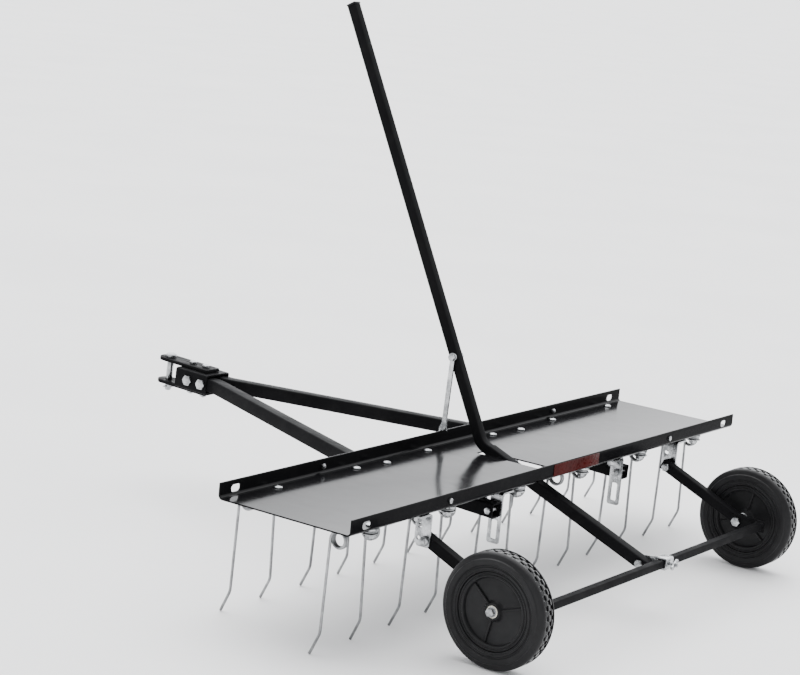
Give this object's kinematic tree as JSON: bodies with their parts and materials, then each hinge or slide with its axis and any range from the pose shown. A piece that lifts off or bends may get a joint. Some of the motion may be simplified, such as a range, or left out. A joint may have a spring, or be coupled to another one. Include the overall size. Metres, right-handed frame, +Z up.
{
  "type": "lawn dethatcher",
  "caption": "Tow-behind lawn dethatcher: shallow steel tray with two staggered rows of double spring tines, V tongue with clevis hitch, and two wheels on a hand-levered lift frame.",
  "frame": {"origin": "on the floor, midway between the wheels, under the middle of the machine's length", "axes": "+X to the machine's right, +Y forwards along the tongue to the tow vehicle, +Z up"},
  "size_m": [1.209, 1.1292, 0.9299],
  "materials": {
    "black_paint": "glossy black powder coat on steel",
    "zinc_plate": "bright zinc plate on steel",
    "spring_wire": "grey zinc plate on spring steel wire",
    "black_rubber": "satin black, ringed tread",
    "black_plastic": "satin black moulded",
    "nylon": "natural nylon",
    "red_film": "plain dark red film, no text"
  },
  "bodies": {
    "tray": {"tray": "black_paint", "tongue_tube_left": "black_paint", "tongue_tube_right": "black_paint", "hitch_block": "black_paint", "hitch_strap_upper": "black_paint", "hitch_strap_lower": "black_paint", "tongue_bracket_left": "zinc_plate", "tongue_bracket_right": "zinc_plate", "tongue_rear_bolt_left": "zinc_plate", "tongue_rear_bolt_right": "zinc_plate", "tongue_front_bolt_left": "zinc_plate", "tongue_front_bolt_right": "zinc_plate", "wheel_bracket_left": "zinc_plate", "wheel_bracket_right": "zinc_plate", "arm_pivot_bolt_left": "zinc_plate", "arm_pivot_bolt_right": "zinc_plate", "hitch_side_bolt_1": "zinc_plate", "hitch_side_bolt_2": "zinc_plate", "hitch_strap_bolt_1": "zinc_plate", "hitch_strap_bolt_2": "zinc_plate", "lip_bolt_rear_left": "zinc_plate", "lip_bolt_rear_right": "zinc_plate", "lip_bolt_front_left": "zinc_plate", "lip_bolt_front_right": "zinc_plate", "double_tine_rear_1": "spring_wire", "double_tine_rear_2": "spring_wire", "double_tine_rear_3": "spring_wire", "double_tine_rear_4": "spring_wire", "double_tine_rear_5": "spring_wire", "double_tine_rear_6": "spring_wire", "double_tine_front_1": "spring_wire", "double_tine_front_2": "spring_wire", "double_tine_front_3": "spring_wire", "double_tine_front_4": "spring_wire", "double_tine_front_5": "spring_wire", "double_tine_front_6": "spring_wire", "rear_film": "red_film"},
    "lift_frame": {"wheel_arm_left": "black_paint", "wheel_arm_right": "black_paint", "crossbar": "black_paint", "crossbar_clamp": "zinc_plate", "clamp_bolt": "zinc_plate", "lift_lever": "black_paint", "handle_tube": "black_paint", "handle_bolt": "black_paint", "handle_cap": "black_plastic", "stay_bolt": "zinc_plate", "axle_bolt_left": "zinc_plate", "axle_bolt_right": "zinc_plate"},
    "wheel_left": {"tyre_left": "black_rubber", "wheel_rim_left": "black_plastic", "wheel_bush_left": "nylon"},
    "wheel_right": {"tyre_right": "black_rubber", "wheel_rim_right": "black_plastic", "wheel_bush_right": "nylon"},
    "stay": {"lift_stay": "zinc_plate"},
    "hitch_pin": {"hitch_pin": "zinc_plate"},
    "hitch_clip": {"hitch_clip": "zinc_plate"}
  },
  "joints": [
    {"name": "lift", "type": "hinge", "parent": "tray", "child": "lift_frame", "pos_m": [0, -0.32262, 0.154], "axis": [1, 0, 0], "range_deg": [0, 22]},
    {"name": "wheel_left_spin", "type": "hinge", "parent": "lift_frame", "child": "wheel_left", "pos_m": [-0.4144, -0.47512, 0.0895], "axis": [1, 0, 0], "continuous": true},
    {"name": "wheel_right_spin", "type": "hinge", "parent": "lift_frame", "child": "wheel_right", "pos_m": [0.4144, -0.47512, 0.0895], "axis": [1, 0, 0], "continuous": true},
    {"name": "stay_swing", "type": "hinge", "parent": "lift_frame", "child": "stay", "pos_m": [-0.0108, -0.09133, 0.354], "axis": [1, 0, 0], "range_deg": [0, 70]},
    {"name": "hitch_pin_turn", "type": "hinge", "parent": "tray", "child": "hitch_pin", "pos_m": [0, 0.54262, 0.20803], "axis": [0, -0.0417, 0.9991], "continuous": true},
    {"name": "hitch_clip_pull", "type": "slide", "parent": "hitch_pin", "child": "hitch_clip", "axis": [1, 0, 0], "range_m": [0, 0.022]}
  ]
}
